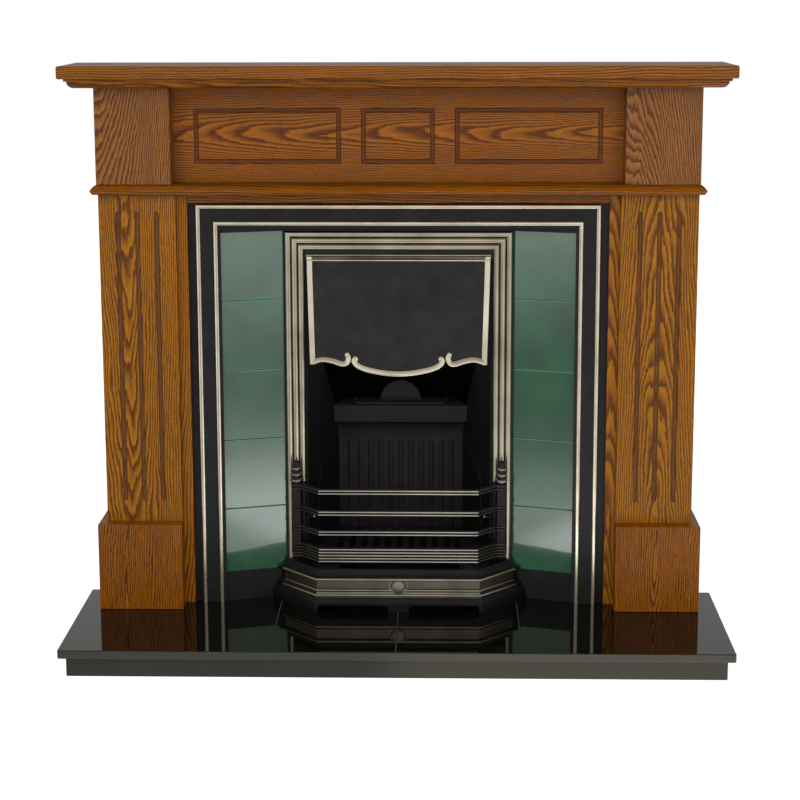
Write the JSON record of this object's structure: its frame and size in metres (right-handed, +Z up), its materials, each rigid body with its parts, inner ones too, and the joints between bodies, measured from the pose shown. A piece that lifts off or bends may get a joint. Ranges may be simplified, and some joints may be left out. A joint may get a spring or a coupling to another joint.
{
  "type": "fireplace",
  "caption": "Oak fire surround with shelf and fluted pilasters round a cast iron tiled insert with hood, front bars and ashpan cover, on a granite hearth.",
  "frame": {"origin": "on the floor, under the middle of the whole fireplace", "axes": "+X to the right as seen from the room, +Y from the room into the wall, +Z up"},
  "size_m": [1.372, 0.5848, 1.2256],
  "materials": {
    "oak": "satin lacquer",
    "iron": "satin black",
    "polished_iron": "polished",
    "glazed_tile": "gloss glaze",
    "granite": "polished",
    "riser_granite": "honed",
    "mortar": "rough",
    "sheet_steel": "satin black"
  },
  "bodies": {
    "fireplace": {"hearth_slab_left": "granite", "hearth_slab_centre_left": "granite", "hearth_slab_centre_right": "granite", "hearth_slab_right": "granite", "hearth_riser_front": "riser_granite", "hearth_riser_left": "riser_granite", "hearth_riser_right": "riser_granite", "hearth_bed": "mortar", "pilaster_left": "oak", "pilaster_right": "oak", "side_board_left": "oak", "side_board_right": "oak", "rebate_board_left": "oak", "rebate_board_right": "oak", "slip_left": "oak", "slip_right": "oak", "header_slip": "oak", "plinth_left": "oak", "plinth_right": "oak", "capital_left": "oak", "capital_right": "oak", "neck_board": "oak", "frieze_board": "oak", "cornice_board": "oak", "mantel_shelf": "oak", "back_rail": "oak", "front_frame": "iron", "tile_sleeve_left": "iron", "tile_sleeve_right": "iron", "tile_left_1": "glazed_tile", "tile_left_2": "glazed_tile", "tile_left_3": "glazed_tile", "tile_left_4": "glazed_tile", "tile_left_5": "glazed_tile", "tile_right_1": "glazed_tile", "tile_right_2": "glazed_tile", "tile_right_3": "glazed_tile", "tile_right_4": "glazed_tile", "tile_right_5": "glazed_tile", "inner_frame": "polished_iron", "cheek_left": "iron", "cheek_right": "iron", "cheek_bolt_left": "polished_iron", "cheek_bolt_right": "polished_iron", "fireback": "iron", "fire_ledge": "iron"},
    "hood": {"hood": "iron"},
    "damper": {"damper_flap": "iron"},
    "bars": {"front_bars": "iron", "finial_left": "polished_iron", "finial_right": "polished_iron"},
    "grate": {"bottom_grate": "iron"},
    "cover": {"ashpan_cover": "iron", "cover_knob": "polished_iron"},
    "pan": {"ash_pan": "sheet_steel"}
  },
  "joints": [
    {"name": "hood_lift", "type": "slide", "parent": "fireplace", "child": "hood", "axis": [0, 0, 1], "range_m": [0, 0.01]},
    {"name": "damper_hinge", "type": "hinge", "parent": "fireplace", "child": "damper", "pos_m": [0, 0.2486, 0.4594], "axis": [-1, 0, 0], "range_deg": [0, 60]},
    {"name": "bars_lift", "type": "slide", "parent": "fireplace", "child": "bars", "axis": [0, 0, 1], "range_m": [0, 0.06]},
    {"name": "grate_lift", "type": "slide", "parent": "fireplace", "child": "grate", "axis": [0, 0, 1], "range_m": [0, 0.05]},
    {"name": "cover_pull", "type": "slide", "parent": "fireplace", "child": "cover", "axis": [0, -1, 0], "range_m": [0, 0.2]},
    {"name": "pan_pull", "type": "slide", "parent": "fireplace", "child": "pan", "axis": [0, -1, 0], "range_m": [0, 0.12]}
  ],
  "couplings": [
    {"joint": "pan_pull", "follows": "cover_pull", "ratio": 0.6}
  ]
}
